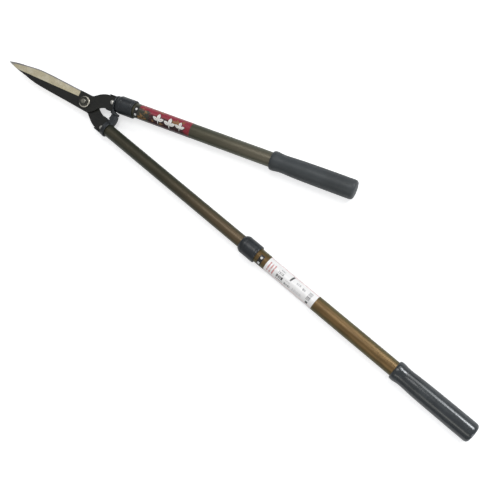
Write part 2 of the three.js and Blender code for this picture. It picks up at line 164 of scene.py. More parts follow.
def fillet(corners, steps):
    """rounds a closed outline of (station, radius, fillet radius) corners with arcs"""
    out = []
    for i, (x, y, size) in enumerate(corners):
        corner = np.array((x, y), float)
        before = np.array(corners[i - 1][:2], float) - corner
        after = np.array(corners[(i + 1) % len(corners)][:2], float) - corner
        len_before, len_after = np.linalg.norm(before), np.linalg.norm(after)
        before /= len_before
        after /= len_after
        half = math.acos(float(before @ after)) / 2
        setback = min(size / math.tan(half), len_before * 0.48, len_after * 0.48)
        radius = setback * math.tan(half)
        bisector = (before + after) / np.linalg.norm(before + after)
        centre = corner + bisector * radius / math.sin(half)
        start = math.atan2(*(corner + before * setback - centre)[::-1])
        end = math.atan2(*(corner + after * setback - centre)[::-1])
        sweep = (end - start + math.pi) % (2 * math.pi) - math.pi
        for k in range(steps + 1):
            angle = start + sweep * k / steps
            out.append((centre[0] + radius * math.cos(angle),
                        centre[1] + radius * math.sin(angle)))
    return out


def spline(points, steps=6):
    """smooth curve through the points, with this many steps between neighbours"""
    points = [np.array(p, float) for p in points]
    last = len(points) - 1
    out = []
    for k in range(last * steps + 1):
        i = min(k // steps, last - 1)
        part = k / steps - i
        start, end = points[i], points[i + 1]
        pull_in = (end - points[max(i - 1, 0)]) * 0.5
        pull_out = (points[min(i + 2, last)] - start) * 0.5
        out.append(tuple((2 * start - 2 * end + pull_in + pull_out) * part ** 3
                         + (-3 * start + 3 * end - 2 * pull_in - pull_out) * part ** 2
                         + pull_in * part + start))
    return out


def prism(name, outline, low, high):
    count = len(outline)
    verts = [(x, y, z) for z in (low, high) for x, y in outline]
    faces = [tuple(range(count))[::-1], tuple(range(count, 2 * count))]
    for i in range(count):
        j = (i + 1) % count
        faces.append((i, j, count + j, count + i))
    return outward(new_object(name, verts, faces))


def apply_modifiers(obj):
    graph = bpy.context.evaluated_depsgraph_get()
    mesh = bpy.data.meshes.new_from_object(obj.evaluated_get(graph))
    old = obj.data
    obj.modifiers.clear()
    obj.data = mesh
    bpy.data.meshes.remove(old)


def boolean(obj, tool, operation="DIFFERENCE"):
    mod = obj.modifiers.new("boolean", "BOOLEAN")
    mod.operation, mod.solver, mod.object = operation, "EXACT", tool
    apply_modifiers(obj)
    bpy.data.objects.remove(tool)


def bevel(obj, width, segments, angle):
    mod = obj.modifiers.new("bevel", "BEVEL")
    mod.width, mod.segments = width, segments
    mod.limit_method, mod.angle_limit = "ANGLE", math.radians(angle)
    mod.miter_outer = "MITER_SHARP"
    mod.use_clamp_overlap = True
    apply_modifiers(obj)


def shade(obj, angle):
    """smooth faces, sharp where they meet at more than the angle"""
    with editing(obj) as mesh:
        for face in mesh.faces:
            face.smooth = True
        for edge in mesh.edges:
            if len(edge.link_faces) == 2:
                edge.smooth = edge.calc_face_angle(0) < math.radians(angle)


def weld(obj, dist=0.004):
    """joins points closer than dist (mm) and drops the faces that collapse"""
    with editing(obj) as mesh:
        bmesh.ops.remove_doubles(mesh, verts=mesh.verts, dist=dist)
        bmesh.ops.dissolve_degenerate(mesh, edges=mesh.edges, dist=dist * 0.25)


def register(obj, body, node, material, angle):
    """shades a piece, gives it its material, hangs it on its body and hides the CAD part it
    stands in for
    """
    shade(obj, angle)
    obj.data.materials.clear()
    obj.data.materials.append(material)
    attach(obj, body)
    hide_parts(node)


def finish(obj, body, node, material, angle=38):
    obj.data.transform(TO_WORLD)
    register(obj, body, node, material, angle)


# ---------------------------------------------------------------- material helpers
class Material:
    """a Principled material; its texture coordinates are mm in the frame it is given"""

    def __init__(self, name, handle=LAYOUT):
        self.handle = handle
        self.data = bpy.data.materials.new(name)
        self.data.use_nodes = True
        self.tree = self.data.node_tree
        self.tree.nodes.clear()
        output = self.node("OutputMaterial")
        self.shader = self.node("BsdfPrincipled")
        self.tree.links.new(self.shader.outputs[0], output.inputs[0])
        self.coords = self.node("TexCoord").outputs["Object"]

    def node(self, kind, inputs={}, **settings):
        node = self.tree.nodes.new("ShaderNode" + kind)
        for key, value in settings.items():
            setattr(node, key, value)
        for key, value in inputs.items():
            self.put(node.inputs[key], value)
        return node

    def put(self, socket, value):
        if isinstance(value, bpy.types.NodeSocket):
            self.tree.links.new(value, socket)
        elif isinstance(value, tuple) and len(value) == 3 and socket.type == "RGBA":
            socket.default_value = (*value, 1)
        else:
            socket.default_value = value

    def set(self, name, value):
        self.put(self.shader.inputs[name], value)

    def space(self, stretch=(1, 1, 1), turn=0):
        """coordinates in mm along the frame, stretched and turned (degrees) about z"""
        return self.node("Mapping", {
            "Vector": self.coords,
            "Location": TO_WORLD @ self.handle.matrix @ Vector((0, 0, 0)),
            "Rotation": (0, 0, math.radians(self.handle.tilt + turn)),
            "Scale": tuple(0.001 * k for k in stretch)}, vector_type="TEXTURE").outputs[0]

    def xyz(self, vector):
        return self.node("SeparateXYZ", {0: vector}).outputs

    def noise(self, coords, scale, detail=4, rough=0.55, distort=0.0):
        return self.node("TexNoise", {
            "Vector": coords, "Scale": scale, "Detail": detail,
            "Roughness": rough, "Distortion": distort}).outputs["Fac"]

    def math(self, operation, *values):
        return self.node("Math", dict(enumerate(values)), operation=operation).outputs[0]

    def mul(self, first, second):
        return self.math("MULTIPLY", first, second)

    def ramp(self, value, low, high, out=(0.0, 1.0), kind="SMOOTHSTEP"):
        """carries low..high to the out range"""
        return self.node("MapRange", {
            "Value": value, "From Min": low, "From Max": high,
            "To Min": out[0], "To Max": out[1]}, interpolation_type=kind).outputs["Result"]

    def patch(self, coords, low, high, out=(0.0, 1.0), **noise):
        """noise pushed through a ramp"""
        return self.ramp(self.noise(coords, **noise), low, high, out)

    def mix(self, factor, first, second, blend="MIX"):
        return self.node("Mix", {"Factor": factor, 6: first, 7: second},
                         data_type="RGBA", blend_type=blend).outputs[2]

    def blend(self, factor, first, second):
        return self.node("Mix", {"Factor": factor, 2: first, 3: second},
                         data_type="FLOAT").outputs[0]

    def bump(self, height, strength, depth):
        """sets the normal; depth in mm"""
        self.set("Normal", self.node("Bump", {
            "Strength": strength, "Distance": depth * 0.001, "Height": height}).outputs[0])

    def edge(self, radius, low, high):
        """0 on faces, 1 on worn edges"""
        rounded = self.node("Bevel", {"Radius": radius * 0.001}, samples=4).outputs[0]
        normal = self.node("NewGeometry").outputs["Normal"]
        dot = self.node("VectorMath", {0: rounded, 1: normal}, operation="DOT_PRODUCT")
        return self.ramp(self.math("SUBTRACT", 1.0, dot.outputs["Value"]), low, high)

    def attribute(self, name, output):
        return self.node("Attribute", attribute_name=name).outputs[output]


def scaled(colour, factor):
    return tuple(c * factor for c in colour)


# ---------------------------------------------------------------- blade outlines
# (x, y) from the point back to the pivot, as on the front blade; the rear one mirrors them
CUTTING_SIDE = [
    (-153, -0.2), (-145.5, 1.4), (-131.3, 4.7), (-115.1, 8.1), (-104, 10.0),
    (-93, 11.2), (-75, 11.9), (-57.8, 12.15), (-22.9, 12.5), (3.0, 12.9)]
SPINE_SIDE = [
    (-153, -0.2), (-146, -2.4), (-134.7, -4.9), (-119.7, -7.3), (-106, -9.0),
    (-93.5, -10.2), (-75, -10.95), (-57, -11.3), (-21.3, -11.9), (3.0, -12.7)]


def tang(handle, outward_side, end, return_side):
    """the part that enters the handle; end holds (distance short of the tang's end, across)"""
    tang_end = handle.tube[0] - TANG_CLEARANCE
    corners = [tuple((handle.matrix @ Vector((tang_end - short, across, 0)))[:2])
               for short, across in end]
    return spline(outward_side) + corners + spline(return_side)


FRONT_TANG = tang(
    SHORT,
    [(4.6, 13.0), (7.0, 14.0), (10.2, 16.6), (14.9, 20.5), (20.9, 24.0), (27.0, 26.1),
     (33.5, 27.1)],
    [(1.4, 8.0), (0.4, 7.6), (0, 6.6), (0, -11.6), (0.5, -12.7), (1.6, -13.2)],
    [(37.4, 7.0), (32.4, 6.0), (27.9, 4.3), (23.5, 1.2), (20.0, -3.6), (15.5, -8.4),
     (9.8, -11.9), (3.0, -12.7)])
REAR_TANG = tang(
    LONG,
    [(4.6, -12.9), (7.4, -13.0), (10.2, -13.9), (14.7, -17.4), (21.4, -22.3),
     (28.1, -25.7), (34.6, -27.3)],
    [(1.6, -9.2), (0.4, -8.7), (0, -7.7), (0, 10.2), (0.5, 11.3), (1.6, 11.8)],
    [(39.6, -7.2), (34.3, -5.5), (28.0, -2.7), (22.9, 0.7), (18.4, 5.6), (13.4, 9.6),
     (8.6, 12.0), (3.0, 12.7)])


# ---------------------------------------------------------------- materials
def blade_material(name, side):
    """dark coat, bare steel where ground; side is 1 if the cutting edge faces +y, else -1"""
    mat = Material(name)
    mul, patch = mat.mul, mat.patch
    place = mat.space()
    x, y, _ = mat.xyz(place)
    ground = mat.attribute("ground", "Fac")
    # distance in from the cutting edge, whose outline is held in a 0..1 curve
    x_min, x_max = CUTTING_SIDE[0][0], CUTTING_SIDE[-1][0]
    y_min, y_span = -2.0, 16.0
    along = mat.ramp(x, x_min, x_max, kind="LINEAR")
    curve = mat.node("FloatCurve", {"Value": along})
    points = curve.mapping.curves[0].points
    outline = [((px - x_min) / (x_max - x_min), (py - y_min) / y_span)
               for px, py in CUTTING_SIDE]
    points[0].location = outline[0]
    for point in outline[1:-1]:
        points.new(*point)
    points[-1].location = outline[-1]
    curve.mapping.update()
    edge_y = mat.math("MULTIPLY_ADD", curve.outputs[0], y_span, y_min)
    inset = mat.math("SUBTRACT", edge_y, mul(y, side))
    honed = mul(mat.ramp(inset, low=1.9, high=1.55), ground)
    # the last millimetres of the point are bare all over
    ragged_x = mat.math("ADD", x, mul(mat.noise(place, scale=0.5, detail=3), 5.0))
    tip = mat.ramp(ragged_x, low=-137.5, high=-140.5)
    bare = mat.math("MAXIMUM", ground, tip)
    edge = mul(mat.edge(radius=0.3, low=0.04, high=0.3),
               patch(place, low=0.38, high=0.62, scale=0.35))
    # two families of fine scratches
    first = mat.noise(mat.space((60, 1.2, 1), turn=24), scale=1.0, detail=5, rough=0.7)
    second = mat.noise(mat.space((80, 1.0, 1), turn=-31), scale=1.1, detail=5, rough=0.75)
    scratch = mul(mat.ramp(mat.math("MAXIMUM", first, second), low=0.70, high=0.78), 0.35)
    worn = mat.math("MAXIMUM", mul(edge, 0.75), scratch)
    coat = mat.mix(patch(place, low=0.3, high=0.7, scale=0.07, detail=5, rough=0.6),
                   (0.0040, 0.0042, 0.0034), (0.0085, 0.0088, 0.0064))
    streak = patch(mat.space((18, 1, 1)), low=0.5, high=0.75, scale=0.9, detail=5)
    coat = mat.mix(mul(streak, 0.5), coat, (0.020, 0.021, 0.015))
    # grinding lines run across the bevel, with slow chatter along it
    lines = mat.noise(mat.space((0.35, 22, 1), turn=4), scale=1.6, detail=5, rough=0.7)
    chatter = patch(mat.space((9, 40, 1), turn=4), low=0.45, high=0.65, scale=0.6, detail=3)
    steel = mat.mix(mat.ramp(lines, low=0.3, high=0.72),
                    (0.39, 0.345, 0.232), (0.69, 0.625, 0.44))
    steel = mat.mix(mul(chatter, 0.35), steel, (0.70, 0.67, 0.56))
    stain = patch(place, low=0.56, high=0.72, scale=0.22, detail=6, rough=0.65)
    steel = mat.mix(mul(stain, 0.45), steel, (0.25, 0.19, 0.11))
    grain = mat.noise(mat.space((26, 0.6, 1), turn=4), scale=1.2, detail=5, rough=0.7)
    honed_steel = mat.mix(mat.ramp(grain, low=0.3, high=0.7),
                          (0.17, 0.165, 0.175), (0.30, 0.29, 0.30))
    steel = mat.mix(honed, steel, honed_steel)
    steel = mat.mix(mul(tip, 0.6), steel, (0.30, 0.30, 0.29))
    mat.set("Base Color", mat.mix(bare, mat.mix(worn, coat, (0.32, 0.30, 0.25)), steel))
    mat.set("Metallic", mat.blend(bare, mat.blend(worn, 0.0, 0.9), 0.8))
    mat.set("Specular IOR Level", 0.4)
    coat_rough = patch(place, low=0.3, high=0.7, out=(0.36, 0.52), scale=0.9, detail=5)
    steel_rough = mat.ramp(mat.blend(honed, lines, grain), low=0.3, high=0.7,
                           out=(0.30, 0.46))
    mat.set("Roughness", mat.blend(bare, coat_rough, steel_rough))
    peel = mul(mat.noise(place, scale=2.2, detail=3), 0.5)
    height = mat.blend(bare, peel, mat.blend(honed, lines, grain))
    mat.bump(mat.math("SUBTRACT", height, mul(scratch, 0.6)), strength=0.35, depth=0.05)
    return mat.data


def bare_metal(name, base, dark, rough, spots, metal=0.95):
    """bright metal with dark spots"""
    mat = Material(name)
    place = mat.space()
    cloud = mat.noise(place, scale=0.9, detail=6, rough=0.6)
    fine = mat.noise(place, scale=7.0, detail=3)
    colour = mat.mix(mat.ramp(cloud, low=0.35, high=0.7), base, scaled(base, 0.78))
    spot = mat.patch(place, low=0.52, high=0.72, scale=0.55, detail=5)
    mat.set("Base Color", mat.mix(mat.mul(spot, spots), colour, dark))
    mat.set("Metallic", metal)
    mat.set("Roughness", mat.ramp(fine, low=0.3, high=0.7, out=(rough - 0.08, rough + 0.12)))
    mat.bump(mat.math("ADD", fine, mat.mul(cloud, 1.5)), strength=0.3, depth=0.04)
    return mat.data


def blackened_steel():
    mat = Material("blackened steel")
    place = mat.space()
    cloud = mat.noise(place, scale=1.1, detail=6, rough=0.65)
    worn = mat.mul(mat.edge(radius=0.3, low=0.03, high=0.22),
                   mat.ramp(cloud, low=0.3, high=0.6))
    colour = mat.mix(mat.ramp(cloud, low=0.35, high=0.7),
                     (0.040, 0.040, 0.034), (0.085, 0.083, 0.07))
    mat.set("Base Color", mat.mix(mat.mul(worn, 0.8), colour, (0.42, 0.40, 0.34)))
    mat.set("Metallic", mat.blend(worn, 0.7, 0.95))
    mat.set("Roughness", mat.patch(place, low=0.3, high=0.7, out=(0.34, 0.5),
                                   scale=5, detail=3))
    mat.bump(cloud, strength=0.3, depth=0.06)
    return mat.data


def moulded(name, handle, base=(0.0150, 0.0185, 0.0215), rough=0.36, grain=3.2):
    """dark moulded plastic with dust, rubbed edges and scuffs; grain is a noise scale"""
    mat = Material(name, handle)
    place = mat.space()
    colour = mat.mix(mat.patch(place, low=0.3, high=0.72, scale=0.10, detail=5, rough=0.6),
                     scaled(base, 0.72), scaled(base, 1.35))
    dust = mat.patch(place, low=0.56, high=0.72, scale=0.6, detail=7, rough=0.7)
    colour = mat.mix(mat.mul(dust, 0.16), colour, (0.10, 0.105, 0.10))
    worn = mat.mul(mat.edge(radius=0.5, low=0.02, high=0.2),
                   mat.patch(place, low=0.35, high=0.65, scale=0.5))
    mat.set("Base Color", mat.mix(mat.mul(worn, 0.55), colour, (0.13, 0.145, 0.15)))
    mat.set("Roughness", mat.patch(place, low=0.3, high=0.7, out=(rough - 0.07, rough + 0.12),
                                   scale=1.4, detail=5))
    mat.set("Specular IOR Level", 0.55)
    pebbles = mat.noise(place, scale=grain, detail=2)
    scuff = mat.patch(mat.space((14, 0.8, 1), turn=15), low=0.66, high=0.78,
                      scale=0.9, detail=5, rough=0.7)
    mat.bump(mat.math("SUBTRACT", pebbles, mat.mul(scuff, 0.5)), strength=0.28, depth=0.07)
    return mat.data


def tube_paint(name, handle, base, light, warm=None, metal=0.5, painted_side_shade=0.5):
    """clear-coated metal tube with fine draw lines along it; warm is the colour it drifts
    to along its length, and the last argument how strongly painted shade darkens its sides"""
    mat = Material(name, handle)
    mul, patch, space = mat.mul, mat.patch, mat.space
    streak = patch(space((70, 0.8, 0.8)), low=0.32, high=0.7, out=(0.15, 0.62),
                   scale=1.0, detail=6, rough=0.65)
    fine = mat.noise(space((160, 0.25, 0.25)), scale=1.0, rough=0.7)
    cloud = patch(space((26, 8, 8)), low=0.4, high=0.7, scale=1.0)
    colour = mat.mix(streak, base, light)
    colour = mat.mix(mul(cloud, 0.45), colour, scaled(base, 0.62))
    if warm:
        station = mat.xyz(space())[0]
        colour = mat.mix(mul(mat.ramp(station, low=150, high=330), 0.8), colour, warm)
    # painted shade: the colour is darkened and tinted toward olive on the sides seen edge-on,
    # so the middle of the tube reads as a brighter sheen
    facing = mat.node("LayerWeight", {"Blend": 0.5}).outputs["Facing"]
    colour = mat.mix(mul(mat.ramp(facing, low=0.05, high=0.42), painted_side_shade), colour,
                     (0.62, 0.84, 0.92), "MULTIPLY")
    # rubbed marks round the tube and a few fine scratches
    rub = patch(space((0.6, 30, 30)), low=0.63, high=0.76, scale=0.9, detail=6, rough=0.7)
    scratch = patch(space((34, 0.55, 2), turn=9), low=0.70, high=0.78,
                    scale=1.0, detail=5, rough=0.72)
    colour = mat.mix(mul(rub, 0.16), colour, (0.30, 0.27, 0.20))
    mat.set("Base Color", mat.mix(mul(scratch, 0.35), colour, (0.42, 0.38, 0.30)))
    mat.set("Metallic", metal)
    mat.set("Roughness", mat.math("ADD", mat.ramp(fine, low=0.3, high=0.7, out=(0.32, 0.46)),
                                  mul(rub, 0.12)))
    mat.set("Coat Weight", 0.12)
    mat.set("Coat Roughness", 0.3)
    mat.bump(mat.math("ADD", mul(fine, 0.5), mul(scratch, -0.5)), strength=0.10, depth=0.03)
    return mat.data


def grip_material(name, handle, worn):
    """vinyl; worn runs from 0 (glossy) to 1 (dulled by use)"""
    mat = Material(name, handle)
    mul, patch = mat.mul, mat.patch
    place = mat.space()
    colour = mat.mix(patch(place, low=0.3, high=0.7, scale=0.035, detail=5, rough=0.6),
                     (0.0155, 0.0200, 0.0225), (0.0300, 0.0365, 0.0400))
    swirl = patch(mat.space((36, 3, 3)), low=0.5, high=0.72,
                  scale=1.0, detail=6, rough=0.6, distort=0.6)
    colour = mat.mix(mul(swirl, 0.45), colour, (0.034, 0.042, 0.047))
    cells = mat.node("TexVoronoi", {"Vector": place, "Scale": 0.42}, feature="F1")
    specks = mul(mat.ramp(cells.outputs["Distance"], low=0.10, high=0.03),
                 patch(place, low=0.52, high=0.66, scale=0.11, detail=3))
    colour = mat.mix(mul(specks, 0.35), colour, (0.3, 0.31, 0.3))
    palm = patch(mat.space((22, 9, 9)), low=0.45, high=0.68, scale=1.0, detail=5, rough=0.62)
    mat.set("Base Color", mat.mix(0.14 * worn, colour, (0.11, 0.115, 0.115)))
    rough = patch(place, low=0.3, high=0.7, out=(0.20 + 0.22 * worn, 0.28 + 0.24 * worn),
                  scale=0.7, detail=6, rough=0.7)
    mat.set("Roughness", mat.math("ADD", rough, mul(palm, 0.09)))
    mat.set("Specular IOR Level", 0.5)
    mat.set("Coat Weight", 0.35 - 0.25 * worn)
    mat.set("Coat Roughness", 0.21 + 0.16 * worn)
    wave = mat.noise(mat.space((12, 3, 3)), scale=0.8, detail=3)
    pebbles = mat.noise(place, scale=1.6, rough=0.6)
    mat.bump(mat.math("ADD", mul(wave, 1.2), mul(pebbles, 0.08)), strength=0.022, depth=0.10)
    return mat.data


def printed(name, handle, rough=0.3, coat=0.4):
    """printed film: the picture is the piece's own 'art' colours, and ink grain,
    rubbed spots and small creases are added here"""
    mat = Material(name, handle)
    place = mat.space()
    art = mat.attribute("art", "Color")
    ink = mat.patch(place, low=0.3, high=0.7, out=(0.0, 0.14), scale=3.0, detail=3)
    colour = mat.mix(ink, art, (0.30, 0.29, 0.26), "MULTIPLY")
    rub = mat.patch(mat.space((3, 1, 1)), low=0.64, high=0.74,
                    scale=0.5, detail=7, rough=0.72)
    mat.set("Base Color", mat.mix(mat.mul(rub, 0.18), colour, (0.5, 0.47, 0.42)))
    mat.set("Roughness", mat.patch(place, low=0.3, high=0.7, out=(rough - 0.06, rough + 0.1),
                                   scale=0.9, detail=5))
    mat.set("Coat Weight", coat)
    mat.set("Coat Roughness", 0.15)
    crease = mat.noise(mat.space((2, 9, 9)), scale=1.0, rough=0.6, distort=0.4)
    mat.bump(crease, strength=0.2, depth=0.05)
    return mat.data


# ---------------------------------------------------------------- blades
def grinding_wedge(start, end, slope, reach, flip):
    """cutter sloping down from a line on the blade's outer face toward its cutting edge"""
    length = math.dist(start, end)
    along = Vector(((end[0] - start[0]) / length, (end[1] - start[1]) / length, 0))
    rise = Vector((0, 0, 1))
    across = along.cross(rise)
    corner = Vector((*start, PLATE_OUT))
    section = [(0, 0), (reach, -slope * reach), (reach, 4), (0, 4)]
    verts = [tuple(corner + across * x + rise * z + along * step)
             for step in (0, length) for x, z in section]
    tool = new_object("tool", verts, [(0, 1, 2, 3), (7, 6, 5, 4), (0, 4, 5, 1),
                                      (1, 5, 6, 2), (2, 6, 7, 3), (3, 7, 4, 0)])
    if flip:
        tool.data.transform(Matrix.Rotation(math.pi, 4, "X"))
    return outward(tool)


def mark_ground(mesh, side):
    """face attribute: 1 on the ground bevel, 0.75 on the narrow faces along the edge"""
    values = np.zeros(len(mesh.polygons), np.float32)
    for i, face in enumerate(mesh.polygons):
        tilt = math.degrees(math.acos(max(-1, min(1, abs(face.normal.z)))))
        x, y = face.center.x, face.center.y * side
        if 4.0 < tilt < 24 and x < -15.5:
            values[i] = 1.0
        elif x < -16 and y > 4 and tilt > 24 and face.normal.y * side > 0.3:
            values[i] = 0.75
    mesh.attributes.new("ground", "FLOAT", "FACE").data.foreach_set("value", values)


def blade(name, handle, tang_outline, side):
    edges = spline(SPINE_SIDE)[1:-1][::-1] + spline(CUTTING_SIDE)
    outline = [(x, side * y) for x, y in edges] + tang_outline
    low, high = (GAP, PLATE_OUT) if side > 0 else (-PLATE_OUT, -GAP)
    obj = prism(name + "_blade_detail", outline, low, high)
    boolean(obj, rod(PIVOT, BOLT_HOLE_R, -8, 8, steps=96))
    boolean(obj, rod(handle.rivet, RIVET_HOLE_R, -8, 8, steps=64))
    # the bevel is ground in two stretches, one near the pivot and one out to the point
    for start, end, slope, reach in (((-16.2, 2.7), (-68.3, -0.9), 0.195, 30),
                                     ((-67.6, -0.8), (-165, -7.2), 0.19, 34)):
        boolean(obj, grinding_wedge(start, end, slope, reach, flip=side < 0))
    bevel(obj, width=0.16, segments=2, angle=7)
    mark_ground(obj.data, side)
    weld(obj, 0.0002)
    finish(obj, handle.name + "_side", name + "_blade",
           blade_material(name + " blade coated and ground", side), 5)


blade("front", SHORT, FRONT_TANG, 1)
blade("rear", LONG, REAR_TANG, -1)


# ---------------------------------------------------------------- pivot
def hexagon(soft=0.35):
    """hexagon about the pivot whose corners are rounded to radius soft"""
    out, reach = [], HEX_R - soft * 2 / math.sqrt(3)
    for i in range(6):
        corner = math.pi / 2 + math.pi * i / 3
        for j in range(5):
            angle = corner + math.radians(-30 + 15 * j)
            out.append((PIVOT[0] + reach * math.cos(corner) + soft * math.cos(angle),
                        PIVOT[1] + reach * math.sin(corner) + soft * math.sin(angle)))
    return out


def hex_body(name, low, high, chamfer_top):
    """hexagonal block, its corners turned off at the bottom and, if asked, at the top"""
    chamfer, face_r, clear_r = 1.0, HEX_R - 1.05, HEX_R + 0.6
    profile = [(low, 0), (low, face_r), (low + chamfer, clear_r)]
    if chamfer_top:
        profile += [(high - chamfer, clear_r), (high, face_r), (high, 0)]
    else:
        profile += [(high + 1, clear_r), (high + 1, 0)]
    obj = prism(name, hexagon(), low, high)
    boolean(obj, lathe("tool", profile, upright(PIVOT)), "INTERSECT")
    return obj


def thread(low, high, pitch=1.25, depth=0.22):
    root = BOLT_R - depth
    profile, z = [], low
    while z + pitch < high - 0.35:
        profile += [(z, root), (z + 0.18, root), (z + 0.55, BOLT_R), (z + 0.72, BOLT_R),
                    (z + 1.07, root)]
        z += pitch
    return profile


def pivot_bolt():
    obj = hex_body("pivot_bolt_detail", BOLT_BASE, HEAD_TOP, chamfer_top=False)
    start = HEAD_TOP - 1.5
    shank = [(start, 0), (start, BOLT_R), (WASHER_TOP - 0.8, BOLT_R),
             (WASHER_TOP - 0.5, BOLT_R - 0.22)]
    shank += thread(WASHER_TOP - 0.4, BOLT_END)
    # rounded end with a small dimple
    shank += [(BOLT_END - 0.85, BOLT_R - 0.02), (BOLT_END - 0.3, BOLT_R - 0.55),
              (BOLT_END - 0.05, BOLT_R - 0.85), (BOLT_END, BOLT_R - 1.1), (BOLT_END, 1.3),
              (BOLT_END - 0.25, 0.9), (BOLT_END - 0.3, 0)]
    boolean(obj, lathe("tool", shank, upright(PIVOT), steps=80), "UNION")
    # shallow round recess in the underside of the head
    boolean(obj, rod(PIVOT, 2.6, BOLT_BASE - 1, BOLT_BASE + 0.45, steps=64))
    weld(obj)
    steel = bare_metal("pivot bolt steel", base=(0.26, 0.25, 0.21), dark=(0.12, 0.11, 0.09),
                       rough=0.36, spots=0.7)
    finish(obj, "long_side", "pivot_bolt", steel, 30)


def pivot_washer():
    bore = BOLT_R + 0.3
    section = [(WASHER_LOW, bore, 0.15), (WASHER_LOW, WASHER_R, 0.3),
               (WASHER_TOP, WASHER_R, 0.5), (WASHER_TOP, bore, 0.2)]
    obj = lathe("pivot_washer_detail", fillet(section, 5), upright(PIVOT), True, 128)
    steel = bare_metal("washer steel", base=(0.90, 0.85, 0.72), dark=(0.62, 0.55, 0.42),
                       rough=0.26, spots=0.3, metal=0.65)
    finish(obj, "long_side", "pivot_washer", steel, 40)


def pivot_nut():
    obj = hex_body("pivot_nut_detail", NUT_LOW, NUT_TOP, chamfer_top=True)
    # (z, radius beyond the bolt's) of the bore, flared at both ends
    flare = [(NUT_LOW - 1, 0.6), (NUT_LOW, 0.55), (NUT_LOW + 0.5, 0.08),
             (NUT_TOP - 0.5, 0.08), (NUT_TOP, 0.55), (NUT_TOP + 1, 0.6)]
    bore = [(NUT_LOW - 1, 0)] + [(z, BOLT_R + extra) for z, extra in flare]
    bore += [(NUT_TOP + 1, 0)]
    boolean(obj, lathe("tool", bore, upright(PIVOT), steps=80))
    weld(obj)
    finish(obj, "long_side", "pivot_nut", blackened_steel(), 30)


pivot_bolt()
pivot_washer()
pivot_nut()


# ---------------------------------------------------------------- rivets
def rivet_dome(base, way):
    """profile of a head from its rim to a slight dimple; way is 1 up, -1 down"""
    angles = [i * math.pi / 2 / 12 for i in range(12)]
    return [(base + way * 0.12, RIVET_HEAD_R - 0.05)] + [
        (base + way * (0.3 + 2.05 * math.sin(a)), (RIVET_HEAD_R - 0.02) * math.cos(a))
        for a in angles] + [(base + way * 2.28, 0.7), (base + way * 2.18, 0.0)]


def rivet(handle, material):
    top, low = handle.rivet_top + 0.1, handle.rivet_low - 0.1
    profile = rivet_dome(low, -1)[::-1]
    profile += [(low, RIVET_HEAD_R - 0.2), (low, RIVET_R), (top, RIVET_R),
                (top, RIVET_HEAD_R - 0.2)]
    profile += rivet_dome(top, 1)

    def hammered(z, angle):
        return 0.03 * math.sin(3 * angle + z) + 0.02 * math.sin(7 * angle - 2 * z)
    name = handle.name + "_rivet"
    obj = lathe(name + "_detail", profile, upright(handle.rivet), steps=72, wobble=hammered)
    finish(obj, handle.name + "_side", name, material, 50)


rivet_steel = bare_metal("rivet steel", base=(0.70, 0.68, 0.62), dark=(0.36, 0.33, 0.27),
                         rough=0.24, spots=0.35)
for spec in (SHORT, LONG):
    rivet(spec, rivet_steel)


# ---------------------------------------------------------------- moulded brackets
def bracket(handle):
    """the socket's own solid (in metres) with every rim and inside corner blended"""
    node = handle.name + "_socket"
    name = node + "_detail"
    obj = bpy.data.objects.new(name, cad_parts[node].data.copy())
    bpy.context.scene.collection.objects.link(obj)
    remesh = obj.modifiers.new("remesh", "REMESH")
    remesh.mode, remesh.voxel_size, remesh.adaptivity = "VOXEL", 0.00026, 0.0
    smooth = obj.modifiers.new("smooth", "SMOOTH")
    smooth.factor, smooth.iterations = 0.5, 4
    apply_modifiers(obj)
    register(obj, handle.name + "_side", node,
             moulded(name + " plastic", handle), 75)


bracket(SHORT)
bracket(LONG)


# ---------------------------------------------------------------- printed art
# Each art function gets, for every point of a film, x (mm along the tube) and y (mm round
# it), with the film's length and width, and gives back linear colours.
def srgb(*levels):
    return np.array([(v / 255) / 12.92 if v / 255 <= 0.04045
                     else ((v / 255 + 0.055) / 1.055) ** 2.4 for v in levels])


def smooth_step(value, low, high):
    part = np.clip((value - low) / (high - low), 0, 1)
    return part * part * (3 - 2 * part)


def near_zero(value, outer, inner):
    """1 where the value is within inner of zero, 0 beyond outer"""
    return smooth_step(-np.abs(value), -outer, -inner)


def value_noise(x, y, seed):
    grid = np.random.RandomState(seed).rand(64, 64)
    col, row = np.floor(x).astype(int), np.floor(y).astype(int)
    x, y = x - col, y - row
    x, y = x * x * (3 - 2 * x), y * y * (3 - 2 * y)

    def cell(i, j):
        return grid[(col + i) % 64, (row + j) % 64]
    return ((cell(0, 0) * (1 - x) + cell(1, 0) * x) * (1 - y)
            + (cell(0, 1) * (1 - x) + cell(1, 1) * x) * y)


def fill(x, colour):
    return np.repeat(colour[None, :], len(x), 0)


def lay(rgb, amount, colour):
    """paints the colour over rgb"""
    amount = np.clip(amount, 0, 1)[:, None]
    return rgb * (1 - amount) + colour[None, :] * amount


def leaf(x, y, centre_x, centre_y, length, width, turn):
    angle = math.radians(turn)
    x, y = x - centre_x, y - centre_y
    along = (x * math.cos(angle) + y * math.sin(angle)) / (length / 2)
    across = (-x * math.sin(angle) + y * math.cos(angle)) / (width / 2)
    inside = 1 - along * along
    return smooth_step(np.where(inside > 0, inside - np.abs(across), -1), 0.0, 0.10)


# leaves of a sprig: x and y from its centre, length, width, turn; the last is the stem
SPRIG = ((0.0, -2.6, 9.6, 5.2, 90), (-4.3, 0.9, 9.4, 4.6, 24), (4.3, 0.9, 9.4, 4.6, 156),
         (0.3, 4.6, 6.4, 1.3, 84))
SPRIG_SPOTS = ((34.0, 0.6, 1.05), (53.0, 1.4, 1.1), (70.0, 0.8, 0.92))   # x, y, size


